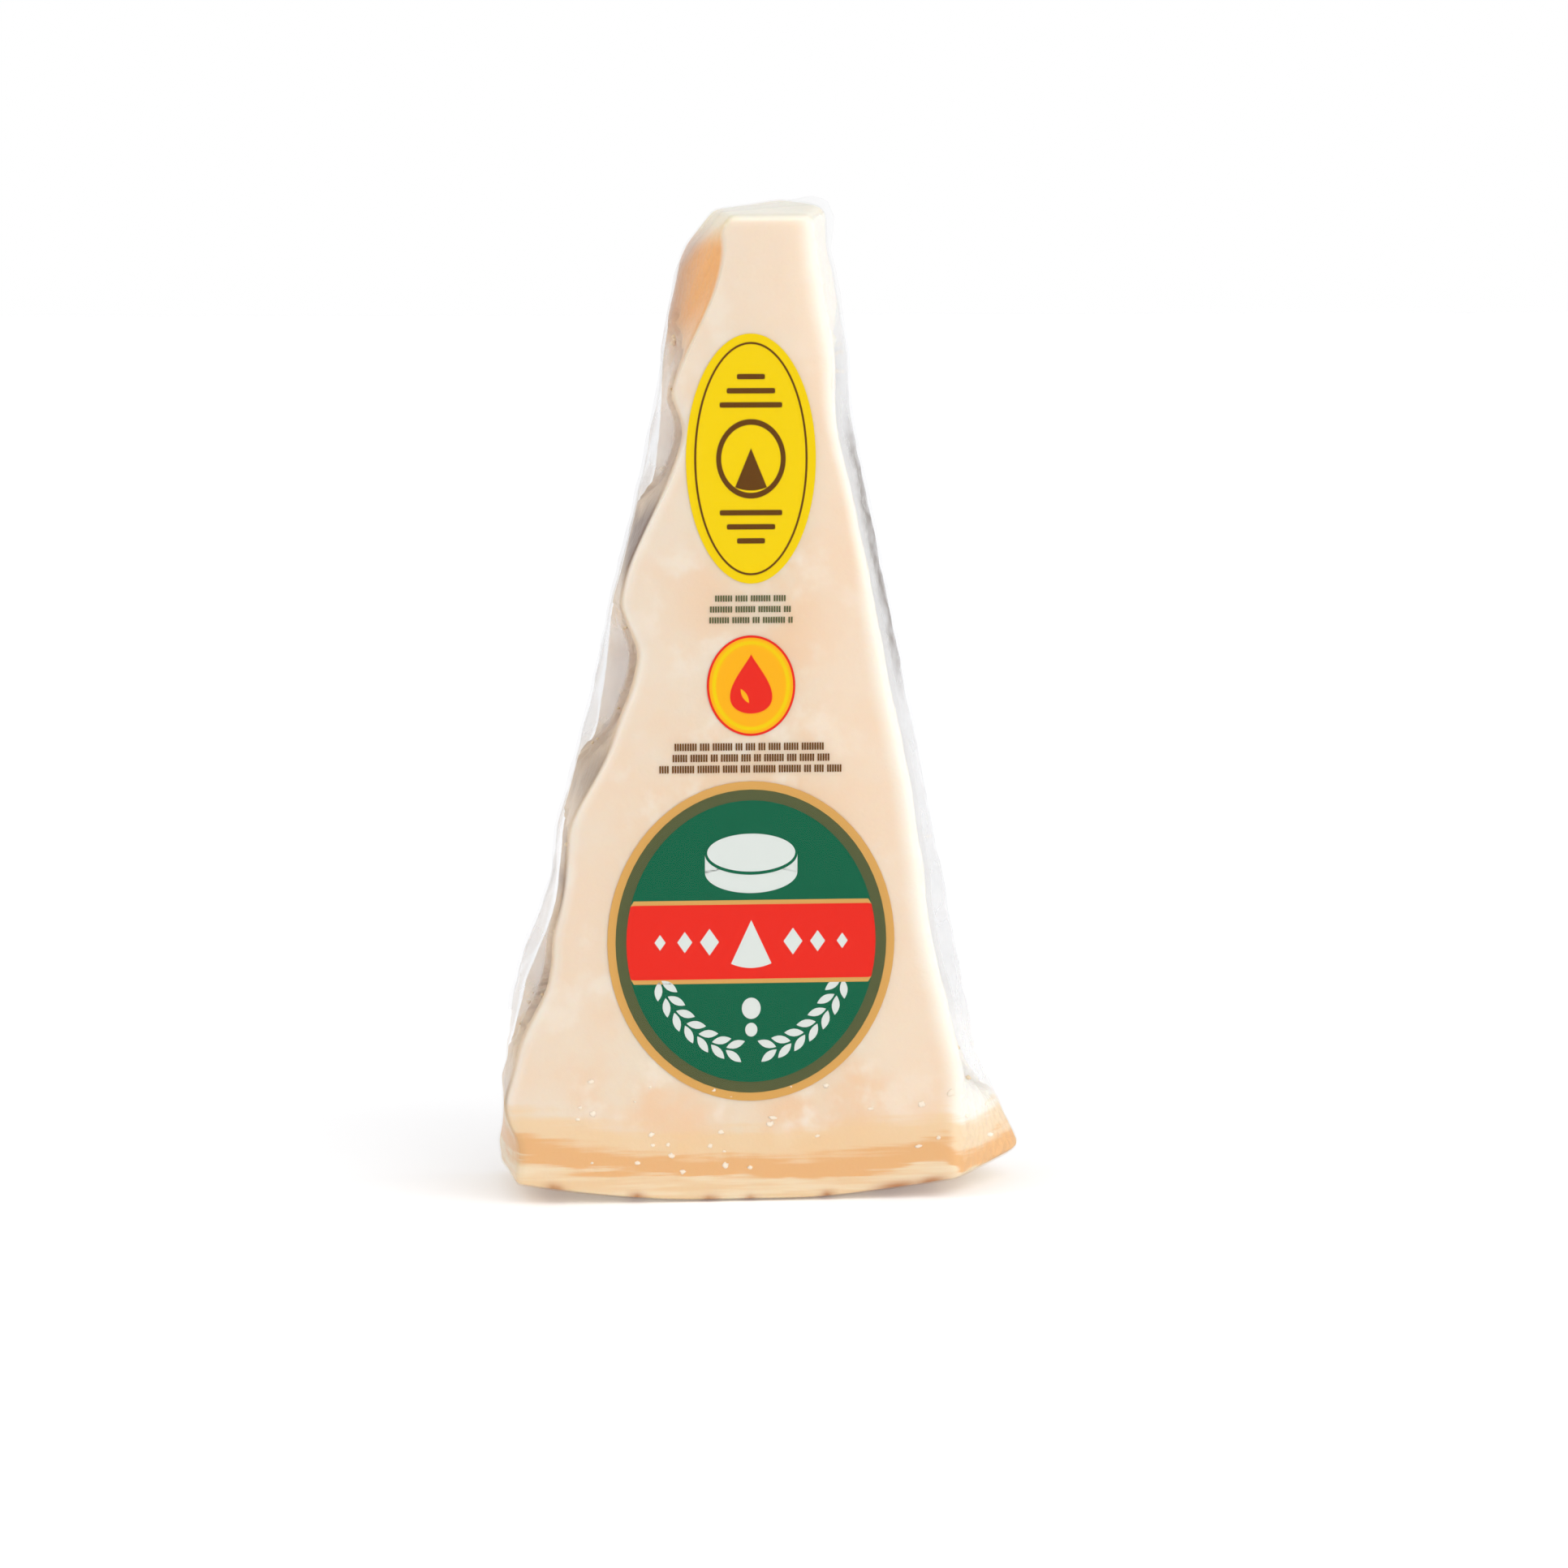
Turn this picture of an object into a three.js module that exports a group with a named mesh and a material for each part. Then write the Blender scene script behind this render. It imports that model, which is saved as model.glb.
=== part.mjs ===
// A portion of grana padano, about 300 g, sealed in clear shrink film. The wheel was sliced into discs and a disc
// into sixteen, so the portion is a flat wedge: two sawn faces front and back, two split faces at the sides, the
// wheel's rind at the base and a trimmed tip on top. It stands on its rind. The solid is the sealed pack's outer
// form. The film lies close on the sawn faces and the rind. Along each side it is welded, and from the weld it runs
// taut to the front and the back edge, over the hollows that the splitting left in the cheese.
//
// Millimetres, +Z up. The front face looks along -Y and +X is to its right. The origin is under the middle of the
// pack, at the height of the surface that it stands on.
import * as THREE from "three";
import { mergeVertices } from "three/addons/utils/BufferGeometryUtils.js";

// Driving dimensions.
const WHEEL_RADIUS = 205;
const PACK_HEIGHT = 155.4; // from the rind to the trimmed tip, at the front
const PACK_THICKNESS = 34; // between the sawn faces
const HALF_ANGLE = THREE.MathUtils.degToRad(11.75); // of the sector, a sixteenth of a wheel and a little
const EDGE_RADIUS = 1.8; // the film's bend round the cheese's edges
const TIP_LEFT_X = -8; // right of here the trimmed tip rises towards the back
const TIP_SLOPE_BACK = 0.155; // by this share of the distance to the right, at the back face
const CHIP_X = -3; // left of here the tip is chipped
const CHIP_FALL = 1.12; // and falls by this share of the distance
const FLAT_SINK = 0.3; // how much of the round rind is pressed flat where the pack stands
const HOLLOW_X = 28; // round here the rind's round is hollowed
const HOLLOW_REACH = 19; // this far to each side
const HOLLOW_DEPTH = 0.4; // and this deep
const WELD_DEPTH = 0.06; // where the weld runs, from 0 at mid thickness to 1 at the back face
const CRAG_DEPTH = 1.1; // of the crags that show under the film on the sides

// How finely the faces are divided, and how many of those steps bend round each edge.
const STEPS = { width: 20, height: 58, thickness: 12, bend: 2 };

// Each line along the pack's height is a list of [height above the rind, inset], where the inset is how far it lies
// inside the sector's straight side. Between two of its points the film, or the split edge, runs straight.
const LINES = {
  left: {
    front: [
      [0, 5], [4, 4.8], [9, 4.4], [13, 1.6], [18, -0.4], [33, 0], [41, 2.1], [47, 1.7], [52, 0.8], [60, 0.4],
      [67, -0.4], [73, -1.2], [78, 0.8], [82, 2.9], [88, 4.1], [93, 5.5], [98, 5], [103, 2.1], [108, -0.6],
      [114, -0.6], [119, 1.6], [123, 4.3], [128, 6], [133, 3.8], [138, 0.9], [142, 3.2], [146, 6.7], [151, 7],
      [157, 5],
    ],
    weld: [
      [0, 4.2], [8, 2.8], [18, 0.9], [29, -0.7], [38, -2.2], [48, -2.2], [62, 0], [70, -1.5], [112, 0], [140, 1.2],
      [146, 0.4], [157, 0.6],
    ],
    back: [
      [0, 4.6], [9, 3.2], [18, 1.4], [38, 1.4], [52, 3.4], [69, 1.1], [84, 3.8], [106, 1.6], [122, 5.4],
      [142, 2.2], [157, 2.2],
    ],
  },
  right: {
    front: [
      [0, 9.4], [7, 8], [18, 5.2], [30, 5.7], [42, 5.7], [64, 3.8], [77, 3.9], [100, 3.4], [123, 3.8], [133, 1.5],
      [157, 0.2],
    ],
    weld: [
      [0, -3.8], [3, -3.4], [7, -2.2], [11, -1.1], [15, 0.4], [27, 0.2], [64, -0.2], [122, -0.6], [133, -2.3],
      [145, -2.6], [148, -2.2], [152, -3], [157, -4],
    ],
    back: [
      [0, 2], [10, 0.4], [18, 2.6], [30, 3.4], [58, 2.8], [80, 3.8], [104, 2.7], [128, 3.6], [144, 1.8], [157, 1.4],
    ],
  },
};

// The inset of a line at a height above the rind.
function insetAt(line, height) {
  const above = line.findIndex(([at]) => at > height);
  if (above === 0) return line[0][1];
  if (above < 0) return line[line.length - 1][1];
  const [lowAt, lowInset] = line[above - 1];
  const [highAt, highInset] = line[above];
  return THREE.MathUtils.mapLinear(height, lowAt, highAt, lowInset, highInset);
}

// The share of CRAG_DEPTH by which a crag stands out under the film, 0 to 1: rough waves that never line up.
function crag(height, depth) {
  const waves = Math.sin(height * 0.31 + depth * 2.3) + Math.sin(height * 0.53 - depth * 4.1 + 1.7)
    + Math.sin(height * 0.87 + depth * 6.2 + 0.6);
  return Math.max(0, waves / 3);
}

// How far the film lies inside the sector's straight side. depth is -1 at the front face and 1 at the back.
function sideInset(side, height, depth) {
  const { front, weld, back } = LINES[side];
  const edge = depth < WELD_DEPTH ? front : back;
  const reach = depth < WELD_DEPTH ? WELD_DEPTH + 1 : 1 - WELD_DEPTH;
  const towardsWeld = 1 - Math.abs(depth - WELD_DEPTH) / reach;
  const taut = THREE.MathUtils.lerp(insetAt(edge, height), insetAt(weld, height), towardsWeld);
  return taut - CRAG_DEPTH * crag(height, depth) * towardsWeld * (1 - towardsWeld) * 4;
}

// The underside's height at a place across the pack: the wheel's round, with a flat to stand on.
function rindHeight(x) {
  const round = x ** 2 / (2 * WHEEL_RADIUS);
  const hollow = HOLLOW_DEPTH * Math.max(0, 1 - ((x - HOLLOW_X) / HOLLOW_REACH) ** 2);
  return Math.max(0, round + hollow - FLAT_SINK);
}

// The trimmed tip's height.
function tipHeight(x, y) {
  const chip = CHIP_FALL * Math.max(0, CHIP_X - x);
  const risingBack = TIP_SLOPE_BACK * Math.max(0, x - TIP_LEFT_X) * (y / PACK_THICKNESS + 0.5);
  return PACK_HEIGHT - chip + risingBack;
}

// Where the step of this index lies between -half and half, with STEPS.bend steps in each edge's bend. They are
// spaced so that they share its angle evenly.
function stepPlace(index, steps, half) {
  const flat = half - EDGE_RADIUS;
  const fromEnd = Math.min(index, steps - index);
  if (fromEnd >= STEPS.bend) {
    return THREE.MathUtils.mapLinear(index, STEPS.bend, steps - STEPS.bend, -flat, flat);
  }
  const angle = (Math.PI / 4) * (1 - fromEnd / STEPS.bend);
  return Math.sign(index - steps / 2) * (flat + EDGE_RADIUS * Math.tan(angle));
}

// A corner of the divided box, from -1 to 1 on each axis, as a point of a wedge with round edges.
function wedgePoint(corner) {
  const index = (value, steps) => Math.round(((value + 1) / 2) * steps);
  const halfHeight = PACK_HEIGHT / 2;
  const halfThickness = PACK_THICKNESS / 2;
  const up = stepPlace(index(corner.y, STEPS.height), STEPS.height, halfHeight);
  const halfWidth = (WHEEL_RADIUS - halfHeight - up) * Math.tan(HALF_ANGLE);
  const boxed = new THREE.Vector3(
    stepPlace(index(corner.x, STEPS.width), STEPS.width, halfWidth),
    -stepPlace(index(corner.z, STEPS.thickness), STEPS.thickness, halfThickness),
    up,
  );
  const inner = new THREE.Vector3(halfWidth, halfThickness, halfHeight).subScalar(EDGE_RADIUS);
  const core = boxed.clone().clamp(inner.clone().negate(), inner);
  const bend = boxed.sub(core);
  if (bend.lengthSq() > 0) bend.setLength(EDGE_RADIUS);
  return core.add(bend);
}

// Moves a point of the plain wedge to the pack's real form: hollow sides, round rind and trimmed tip.
function shapePoint(point) {
  const height = point.z + PACK_HEIGHT / 2;
  const halfWidth = (WHEEL_RADIUS - height) * Math.tan(HALF_ANGLE);
  const side = point.x < 0 ? "left" : "right";
  const depth = THREE.MathUtils.clamp(point.y / (PACK_THICKNESS / 2), -1, 1);
  const x = point.x * (1 - sideInset(side, height, depth) / halfWidth);
  const z = THREE.MathUtils.mapLinear(height, 0, PACK_HEIGHT, rindHeight(x), tipHeight(x, point.y));
  return new THREE.Vector3(x, point.y, z);
}

function wrappedWedge() {
  const box = new THREE.BoxGeometry(2, 2, 2, STEPS.width, STEPS.height, STEPS.thickness);
  box.deleteAttribute("normal");
  box.deleteAttribute("uv");
  const geometry = mergeVertices(box);
  const position = geometry.getAttribute("position");
  for (let i = 0; i < position.count; i += 1) {
    const point = shapePoint(wedgePoint(new THREE.Vector3().fromBufferAttribute(position, i)));
    position.setXYZ(i, point.x, point.y, point.z);
  }
  geometry.computeBoundingBox();
  geometry.translate(-(geometry.boundingBox.min.x + geometry.boundingBox.max.x) / 2, 0, 0);
  geometry.computeVertexNormals();
  return geometry;
}

const cheeseUnderFilm = new THREE.MeshStandardMaterial({ color: 0xf1d9bb, roughness: 0.25, metalness: 0 });

const pack = new THREE.Group();
const wedge = new THREE.Mesh(wrappedWedge(), cheeseUnderFilm);
wedge.name = "wrapped_wedge";
pack.add(wedge);

export default pack;
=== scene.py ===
"""A 300 g wedge of grana padano in clear shrink film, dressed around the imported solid.

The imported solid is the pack's outer form. Divided more finely, it gives two pieces: the film, which
keeps that form and gets its wrinkles, and the cheese, which lies close under the film on its sawn
faces and falls back from it in the hollows of its split sides. Between the two lie the print, in
plain shapes, white grains and loose crumbs.
Metres, +Z up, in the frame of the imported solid; the printed face looks along -Y.
"""
import math
import random

import bmesh
import bpy
import numpy as np
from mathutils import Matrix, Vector, bvhtree, kdtree, noise


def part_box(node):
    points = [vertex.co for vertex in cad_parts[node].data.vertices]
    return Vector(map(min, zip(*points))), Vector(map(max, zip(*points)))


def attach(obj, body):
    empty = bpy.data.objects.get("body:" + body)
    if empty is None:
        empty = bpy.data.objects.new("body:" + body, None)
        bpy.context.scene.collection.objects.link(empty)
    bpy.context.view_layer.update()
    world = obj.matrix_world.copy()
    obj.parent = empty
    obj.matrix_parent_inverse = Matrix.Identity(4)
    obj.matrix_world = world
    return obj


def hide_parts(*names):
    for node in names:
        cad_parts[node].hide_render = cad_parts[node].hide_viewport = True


MM = 0.001

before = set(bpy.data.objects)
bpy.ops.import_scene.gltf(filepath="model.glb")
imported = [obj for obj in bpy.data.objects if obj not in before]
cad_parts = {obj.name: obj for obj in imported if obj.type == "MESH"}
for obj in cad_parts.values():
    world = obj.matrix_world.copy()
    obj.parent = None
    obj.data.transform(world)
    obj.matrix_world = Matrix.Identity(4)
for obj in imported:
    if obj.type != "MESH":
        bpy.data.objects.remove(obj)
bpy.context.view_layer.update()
BODY = "root"
CAD_NODE = "wrapped_wedge"
CAD_LOW, CAD_HIGH = (Vector(corner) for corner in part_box(CAD_NODE))
HALF_THICKNESS = CAD_HIGH.y
TOP = CAD_HIGH.z

# The wheel that the wedge was cut from. The rind is its round, hollowed to the right and flat
# where it stands.
WHEEL_RADIUS = 205 * MM
LOW_POINT_X = -3.4 * MM
FLAT_SINK = 0.3 * MM
RIND_HOLLOW_X, RIND_HOLLOW_REACH, RIND_HOLLOW_DEPTH = 24.6 * MM, 19 * MM, 0.4 * MM
WELD_Y = 0.06 * HALF_THICKNESS

# How deep each piece lies under the film.
INK_DEPTH = 0.14 * MM
INK_LAYER = 0.02 * MM
INK_THICKNESS = 0.012 * MM
CHEESE_DEPTH = 0.28 * MM

LEFT, RIGHT = -1, 1
FINENESS = 2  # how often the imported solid's faces are halved for the cheese and the film


# ------------------------------------------------------------ camera, light and floor

CAMERA_AZIMUTH = math.radians(-6)
CAMERA_ELEVATION = math.radians(6)
CAMERA_DISTANCE = 0.9
CAMERA_TARGET = Vector((2.0 * MM, -17 * MM, 66.4 * MM))
FRAME_WIDTH = 246 * MM  # what the photograph's width takes in, at the target
SENSOR_WIDTH = 36


def add_camera():
    camera = bpy.data.cameras.new("camera")
    camera.sensor_width = SENSOR_WIDTH
    camera.lens = SENSOR_WIDTH * CAMERA_DISTANCE / FRAME_WIDTH
    obj = bpy.data.objects.new("camera", camera)
    back = Vector((
        math.sin(CAMERA_AZIMUTH) * math.cos(CAMERA_ELEVATION),
        -math.cos(CAMERA_AZIMUTH) * math.cos(CAMERA_ELEVATION),
        math.sin(CAMERA_ELEVATION),
    ))
    obj.location = CAMERA_TARGET + CAMERA_DISTANCE * back
    obj.rotation_euler = back.to_track_quat("Z", "Y").to_euler()
    bpy.context.collection.objects.link(obj)
    bpy.context.scene.camera = obj


def turn_to(obj, place):
    """Puts a lamp at that place, or in that direction, and turns it to the middle of the pack."""
    obj.location = place
    from_middle = Vector(place) - Vector((0, 0, TOP / 2))
    obj.rotation_euler = from_middle.to_track_quat("Z", "Y").to_euler()
    bpy.context.collection.objects.link(obj)


def add_softbox(name, place, size, power, colour):
    light = bpy.data.lights.new(name, "AREA")
    light.shape = "RECTANGLE"
    light.size, light.size_y = size
    light.energy = power
    light.color = colour
    turn_to(bpy.data.objects.new(name, light), place)


def add_sun(name, direction, strength, width, colour):
    light = bpy.data.lights.new(name, "SUN")
    light.angle = width
    light.energy = strength
    light.color = colour
    turn_to(bpy.data.objects.new(name, light), direction)


def add_world(shade, strength):
    """An even studio: soft grey all round for light, and white where it is seen or mirrored."""
    world = bpy.data.worlds.new("studio")
    world.use_nodes = True
    nodes, links = world.node_tree.nodes, world.node_tree.links
    background = nodes["Background"]
    background.inputs["Color"].default_value = (*shade, 1)
    background.inputs["Strength"].default_value = strength
    white = nodes.new("ShaderNodeBackground")
    white.inputs["Color"].default_value = (1, 1, 1, 1)
    path = nodes.new("ShaderNodeLightPath")
    mix = nodes.new("ShaderNodeMixShader")
    seen = nodes.new("ShaderNodeMath")
    seen.operation = "MAXIMUM"
    links.new(path.outputs["Is Camera Ray"], seen.inputs[0])
    links.new(path.outputs["Is Glossy Ray"], seen.inputs[1])
    links.new(seen.outputs[0], mix.inputs["Fac"])
    links.new(background.outputs[0], mix.inputs[1])
    links.new(white.outputs[0], mix.inputs[2])
    links.new(mix.outputs[0], nodes["World Output"].inputs["Surface"])
    bpy.context.scene.world = world


def add_floor():
    """A pale floor that glows a little, so that it is white out to the horizon."""
    reach = 6
    corners = [(-reach, -reach, 0), (reach, -reach, 0), (reach, reach, 0), (-reach, reach, 0)]
    mesh = bpy.data.meshes.new("floor")
    mesh.from_pydata(corners, [], [(0, 1, 2, 3)])
    material = new_material("floor")
    shader = material.node_tree.nodes["Principled BSDF"]
    shader.inputs["Base Color"].default_value = (0.94, 0.95, 0.97, 1)
    shader.inputs["Roughness"].default_value = 0.8
    shader.inputs["Specular IOR Level"].default_value = 0.1
    shader.inputs["Emission Color"].default_value = (0.97, 0.98, 1, 1)
    shader.inputs["Emission Strength"].default_value = 0.2
    mesh.materials.append(material)
    link_mesh("floor", mesh)


# ------------------------------------------------------------ material helpers

def srgb(red, green, blue):
    """A colour given as 0 to 255, as the linear values that shaders take."""
    def linear(value):
        share = value / 255
        return share / 12.92 if share <= 0.04045 else ((share + 0.055) / 1.055) ** 2.4
    return (linear(red), linear(green), linear(blue), 1)


def new_material(name):
    material = bpy.data.materials.new(name)
    material.use_nodes = True
    return material


class Nodes:
    """A short way to write a material's nodes."""

    def __init__(self, material):
        self.tree = material.node_tree
        self.shader = self.tree.nodes["Principled BSDF"]

    def put(self, value, socket):
        if isinstance(value, bpy.types.NodeSocket):
            self.tree.links.new(value, socket)
        else:
            socket.default_value = value

    def add(self, kind, settings=None, inputs=None):
        node = self.tree.nodes.new("ShaderNode" + kind)
        for name, value in (settings or {}).items():
            setattr(node, name, value)
        for name, value in (inputs or {}).items():
            self.put(value, node.inputs[name])
        return node

    def attribute(self, name):
        return self.add("Attribute", {"attribute_name": name}).outputs["Fac"]

    def place(self, stretch=(1, 1, 1)):
        """Where the point is on the object, in metres, stretched along each axis."""
        place = self.add("TexCoord").outputs["Object"]
        return self.add("Mapping", None, {"Vector": place, "Scale": stretch}).outputs["Vector"]

    def noise(self, scale, detail=3.0, stretch=(1, 1, 1)):
        inputs = {"Vector": self.place(stretch), "Scale": scale, "Detail": detail}
        return self.add("TexNoise", None, {**inputs, "Roughness": 0.55}).outputs["Fac"]

    def cells(self, scale):
        inputs = {"Vector": self.place(), "Scale": scale}
        return self.add("TexVoronoi", None, inputs).outputs["Distance"]

    def spread(self, value, low, high, to_low=0.0, to_high=1.0):
        """How far the value is from low to high, eased, as a number from to_low to to_high."""
        inputs = {
            "Value": value,
            "From Min": low,
            "From Max": high,
            "To Min": to_low,
            "To Max": to_high,
        }
        settings = {"interpolation_type": "SMOOTHSTEP"}
        return self.add("MapRange", settings, inputs).outputs["Result"]

    def math(self, operation, first, second):
        return self.add("Math", {"operation": operation}, {0: first, 1: second}).outputs[0]

    def add_up(self, first, second):
        return self.math("ADD", first, second)

    def times(self, first, second):
        return self.math("MULTIPLY", first, second)

    def blend(self, amount, first, second):
        """A mix of two colours, by sockets 6 and 7 of the node, with the amount at 0."""
        inputs = {0: amount, 6: first, 7: second}
        return self.add("Mix", {"data_type": "RGBA"}, inputs).outputs[2]

    def mix_shaders(self, amount, first, second):
        """A mix of two shader nodes: all of the first at 0, all of the second at 1."""
        inputs = {0: amount, 1: first.outputs[0], 2: second.outputs[0]}
        return self.add("MixShader", None, inputs)

    def bump(self, height, distance, normal=None):
        inputs = {"Height": height, "Distance": distance, "Strength": 1}
        if normal:
            inputs["Normal"] = normal
        return self.add("Bump", None, inputs).outputs["Normal"]


# ------------------------------------------------------------ the shared form

def link_mesh(name, mesh):
    obj = bpy.data.objects.new(name, mesh)
    bpy.context.collection.objects.link(obj)
    return obj


def smoothstep(value, low, high):
    share = np.clip((value - low) / (high - low), 0, 1)
    return share * share * (3 - 2 * share)


def finer_solid(name):
    """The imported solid's surface as quads, divided and rounded by subdivision."""
    edit = bmesh.new()
    edit.from_mesh(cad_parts[CAD_NODE].data)
    bmesh.ops.remove_doubles(edit, verts=edit.verts, dist=0.001 * MM)
    widest = math.pi
    bmesh.ops.join_triangles(
        edit, faces=edit.faces, angle_face_threshold=widest, angle_shape_threshold=widest)
    coarse = bpy.data.meshes.new(name + "_coarse")
    edit.to_mesh(coarse)
    edit.free()
    obj = link_mesh(name, coarse)
    obj.modifiers.new("divide", "SUBSURF").levels = FINENESS
    depsgraph = bpy.context.evaluated_depsgraph_get()
    fine = bpy.data.meshes.new_from_object(obj.evaluated_get(depsgraph))
    obj.modifiers.clear()
    obj.data = fine
    fine.materials.clear()
    fine.polygons.foreach_set("use_smooth", np.ones(len(fine.polygons), bool))
    return obj


def places_of(mesh):
    places = np.empty(len(mesh.vertices) * 3)
    mesh.vertices.foreach_get("co", places)
    return places.reshape(-1, 3)


def normals_of(mesh):
    normals = np.empty(len(mesh.vertices) * 3)
    mesh.vertex_normals.foreach_get("vector", normals)
    return normals.reshape(-1, 3)


def set_places(mesh, places):
    mesh.vertices.foreach_set("co", places.ravel())
    mesh.update()


def set_attribute(mesh, name, values):
    attribute = mesh.attributes.new(name, "FLOAT", "POINT")
    attribute.data.foreach_set("value", values.astype(np.float32))


def noise_of(points, size, seed=0.0):
    """Smooth noise from -1 to 1 at each point, with waves of about this size in metres."""
    shift = Vector((seed, 2 * seed, 3 * seed))
    return np.array([noise.noise(Vector(point) / size + shift) for point in points])


FILM_TREE = bvhtree.BVHTree.FromObject(
    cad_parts[CAD_NODE], bpy.context.evaluated_depsgraph_get())


def film_x(side, y, z):
    """How far to that side the film is at this depth and height."""
    hit = FILM_TREE.ray_cast(Vector((0, y, z)), Vector((side, 0, 0)))[0]
    return hit.x if hit else None


EDGE_BEND = 1.8 * MM  # the film's bend round the cheese's edges
SPLIT_LOW, SPLIT_HIGH = 9 * MM, TOP - 7 * MM  # the heights at which the sides can be read
FRONT_EDGE_Y = EDGE_BEND - HALF_THICKNESS
BACK_EDGE_Y = HALF_THICKNESS - EDGE_BEND


def edge_line(side, y):
    """The film's line along a split side, at one depth: heights, and how far out it is at each."""
    heights = np.linspace(SPLIT_LOW, SPLIT_HIGH, 90)
    return heights, np.array([abs(film_x(side, y, height)) for height in heights])


def swell(x, z):
    """How far the sawn faces dip under their plane: long shallow waves, in metres."""
    long_waves = np.sin(70 * x + 31 * z + 1.1) + np.sin(64 * z - 43 * x + 0.4)
    short_waves = 0.6 * np.sin(118 * x + 95 * z + 2.2)
    return 0.07 * MM * (2.6 + long_waves + short_waves)


# Beside the tip the front face's right edge is pared off: how wide, how deep, and between which
# heights it fades.
PARED_WIDTH, PARED_DEPTH = 6.5 * MM, 1.5 * MM
PARED_FADE = (122 * MM, 138 * MM)


def pared(places):
    """How far that edge falls back at each place."""
    heights, edge = edge_line(RIGHT, FRONT_EDGE_Y)
    from_edge = np.interp(places[:, 2], heights, edge) - places[:, 0]
    across = np.clip(1 - from_edge / PARED_WIDTH, 0, 1.3)
    high = smoothstep(places[:, 2], *PARED_FADE)
    return PARED_DEPTH * across ** 2 * high * smoothstep(-places[:, 1], 0, 0.8 * HALF_THICKNESS)


def swollen(places, normals):
    """The places with the sawn faces dipped and the edge beside the tip pared off."""
    flat = smoothstep(np.abs(normals[:, 1]), 0.6, 0.98)
    moved = places.copy()
    moved[:, 1] -= np.sign(places[:, 1]) * flat * swell(places[:, 0], places[:, 2])
    moved[:, 1] += pared(places)
    return moved


def rind_line(x):
    """The height of the rind's round at a place across the pack."""
    hollow = np.maximum(0, 1 - ((x - RIND_HOLLOW_X) / RIND_HOLLOW_REACH) ** 2)
    return (x - LOW_POINT_X) ** 2 / (2 * WHEEL_RADIUS) - FLAT_SINK + RIND_HOLLOW_DEPTH * hollow


# ------------------------------------------------------------ cheese

# Where the cheese stands out of the straight split, up to the film: side, height, half reach and
# how far.
BULGES = (
    (LEFT, 150 * MM, 12 * MM, 7 * MM),
    (LEFT, 103 * MM, 9 * MM, 5 * MM),
    (LEFT, 66 * MM, 6 * MM, 4.5 * MM),
    (LEFT, 16 * MM, 7 * MM, 3 * MM),
    (LEFT, 4 * MM, 8 * MM, 6 * MM),
    (RIGHT, 149 * MM, 13 * MM, 4 * MM),
    (RIGHT, 6 * MM, 8 * MM, 12 * MM),
)
# Where it falls back from the straight split.
HOLLOWS = (
    (LEFT, 126 * MM, 13 * MM, 2.4 * MM),
    (LEFT, 84 * MM, 10 * MM, 2.8 * MM),
    (LEFT, 44 * MM, 13 * MM, 3 * MM),
    (RIGHT, 122 * MM, 12 * MM, 1.4 * MM),
    (RIGHT, 92 * MM, 14 * MM, 2.4 * MM),
    (RIGHT, 62 * MM, 14 * MM, 2.6 * MM),
    (RIGHT, 36 * MM, 14 * MM, 3.4 * MM),
)


def swelling(spots, side, z):
    """The sum of the round swellings in a list on one side."""
    total = np.zeros_like(z)
    for spot_side, height, reach, size in spots:
        if spot_side == side:
            total += size * np.exp(-((z - height) / reach) ** 2)
    return total


class Facets:
    """The broken face of a split: each point belongs to the nearest of many centres with planes."""

    def __init__(self, spacing, height, tilt, seed):
        rng = random.Random(seed)
        area = (CAD_HIGH.z - CAD_LOW.z) * 2 * HALF_THICKNESS
        count = int(area / spacing ** 2)
        self.planes = []
        self.tree = kdtree.KDTree(count)
        for index in range(count):
            centre = Vector((0, rng.uniform(-HALF_THICKNESS, HALF_THICKNESS), rng.uniform(0, TOP)))
            self.tree.insert(centre, index)
            out = rng.uniform(0, height)
            tilts = rng.uniform(-tilt, tilt), rng.uniform(-tilt, tilt)
            self.planes.append((centre, out, *tilts))
        self.tree.balance()

    def at(self, y, z):
        index = self.tree.find(Vector((0, y, z)))[1]
        centre, height, tilt_y, tilt_z = self.planes[index]
        return height + tilt_y * (y - centre.y) + tilt_z * (z - centre.z)


def split_relief(points, seed):
    """How deep the crags go at each point: flakes in two sizes, warped so that none is straight."""
    warp_y = noise_of(points, 5 * MM, seed) * 2.2 * MM
    warp_z = noise_of(points, 5 * MM, seed + 9) * 2.2 * MM
    flakes = Facets(10 * MM, 1.3 * MM, 0.16, seed)
    grains = Facets(3.2 * MM, 0.55 * MM, 0.2, seed + 1)
    relief = np.array([
        flakes.at(y + dy, z + dz) + grains.at(y + dy / 2, z + dz / 2)
        for (_, y, z), dy, dz in zip(points, warp_y, warp_z)
    ])
    return np.maximum(relief + 0.3 * MM * noise_of(points, 1.6 * MM, seed + 4), 0)


FILLED = (138 * MM, 146 * MM)  # above these heights the cheese fills the film


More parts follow.
